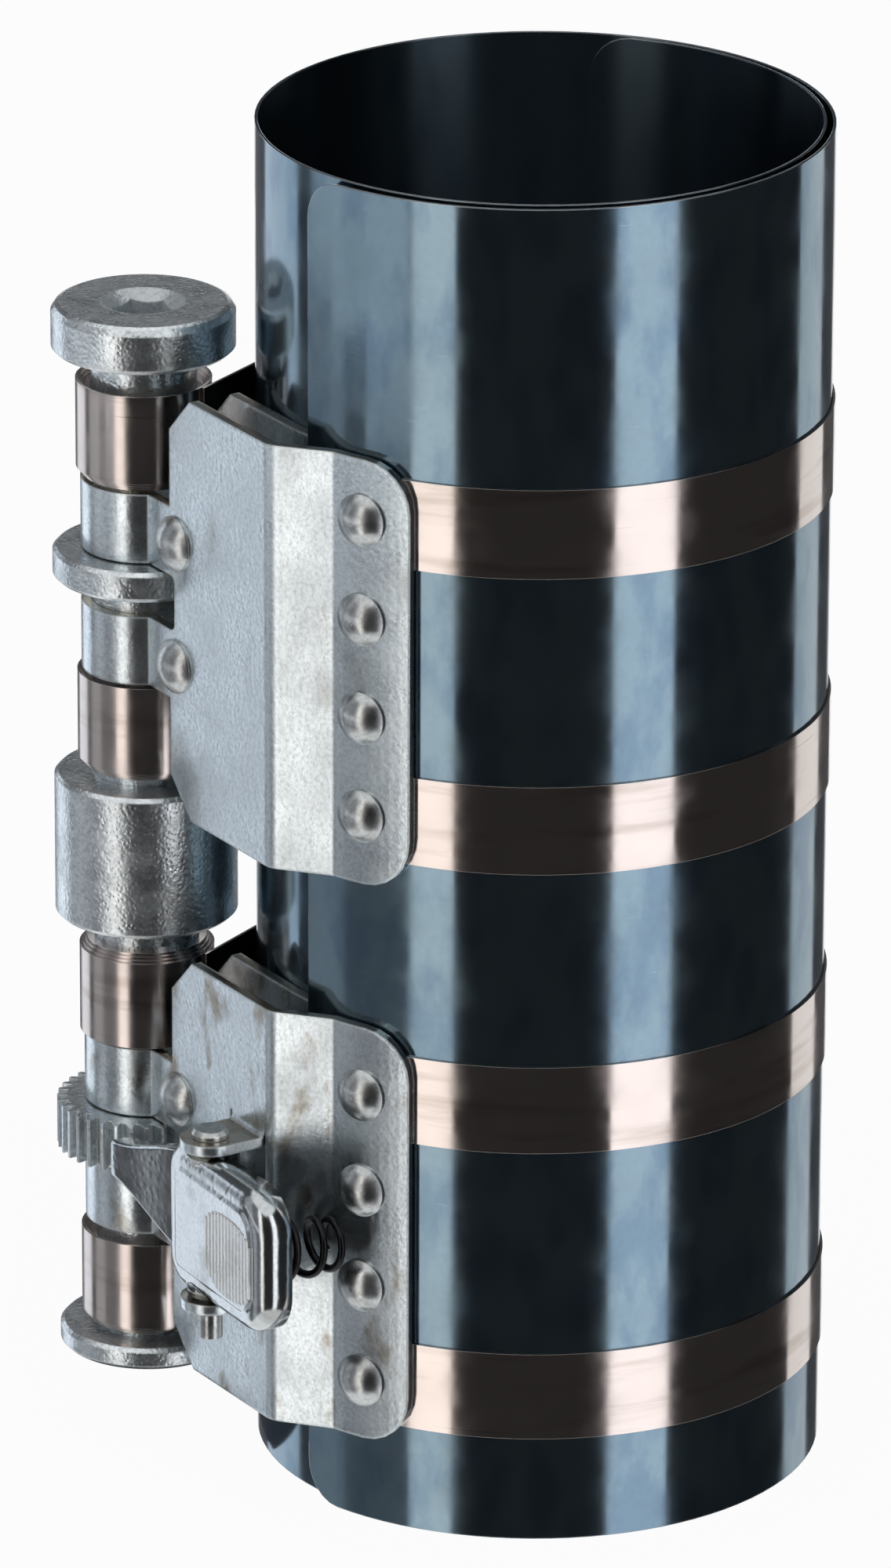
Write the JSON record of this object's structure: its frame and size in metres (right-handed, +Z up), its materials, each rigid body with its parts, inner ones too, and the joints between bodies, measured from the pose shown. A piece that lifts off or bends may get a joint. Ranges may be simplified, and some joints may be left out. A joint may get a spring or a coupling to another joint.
{
  "type": "piston ring compressor",
  "caption": "Ratchet piston ring compressor: a rolled blued-steel sleeve tightened by steel bands on a hexagon-socket spindle with a spring pawl.",
  "frame": {"origin": "centre of the piston bore at the sleeve's lower rim", "axes": "+Z up along the sleeve, -X towards the spindle, -Y towards the front with the pawl"},
  "size_m": [0.0923, 0.0775, 0.165],
  "materials": {
    "blued_steel": "glossy blued",
    "band_steel": "bright cold-rolled",
    "bracket_zinc": "satin zinc plate",
    "rivet_steel": "polished",
    "turned_zinc": "tumbled zinc plate",
    "pawl_zinc": "polished zinc plate",
    "spring_black": "black"
  },
  "bodies": {
    "frame": {"sleeve": "blued_steel", "tension_band_1": "band_steel", "tension_band_2": "band_steel", "tension_band_3": "band_steel", "tension_band_4": "band_steel", "upper_bracket": "bracket_zinc", "lower_bracket": "bracket_zinc", "upper_flange_rivets": "rivet_steel", "lower_flange_rivets": "rivet_steel", "upper_ear_rivets": "rivet_steel", "lower_ear_rivets": "rivet_steel", "pawl_pin": "rivet_steel", "pawl_spring": "spring_black"},
    "spindle": {"spindle_shaft": "turned_zinc", "spacer_ring": "turned_zinc", "centre_collar": "turned_zinc", "ratchet_wheel": "turned_zinc", "end_flange": "turned_zinc", "wound_band_1": "band_steel", "wound_band_2": "band_steel", "wound_band_3": "band_steel", "wound_band_4": "band_steel"},
    "pawl": {"pawl_lever": "pawl_zinc"}
  },
  "joints": [
    {"name": "spindle_turn", "type": "hinge", "parent": "frame", "child": "spindle", "pos_m": [-0.0468, 0, 0.0744], "axis": [0, 0, 1], "range_deg": [-180, 2340]},
    {"name": "pawl_release", "type": "hinge", "parent": "frame", "child": "pawl", "pos_m": [-0.0356, -0.02797, 0.03605], "axis": [0, 0, 1], "range_deg": [-3, 10], "stiffness_Nm_per_rad": 0.05, "springref_deg": -11.46, "deforming": ["pawl_spring"]}
  ]
}
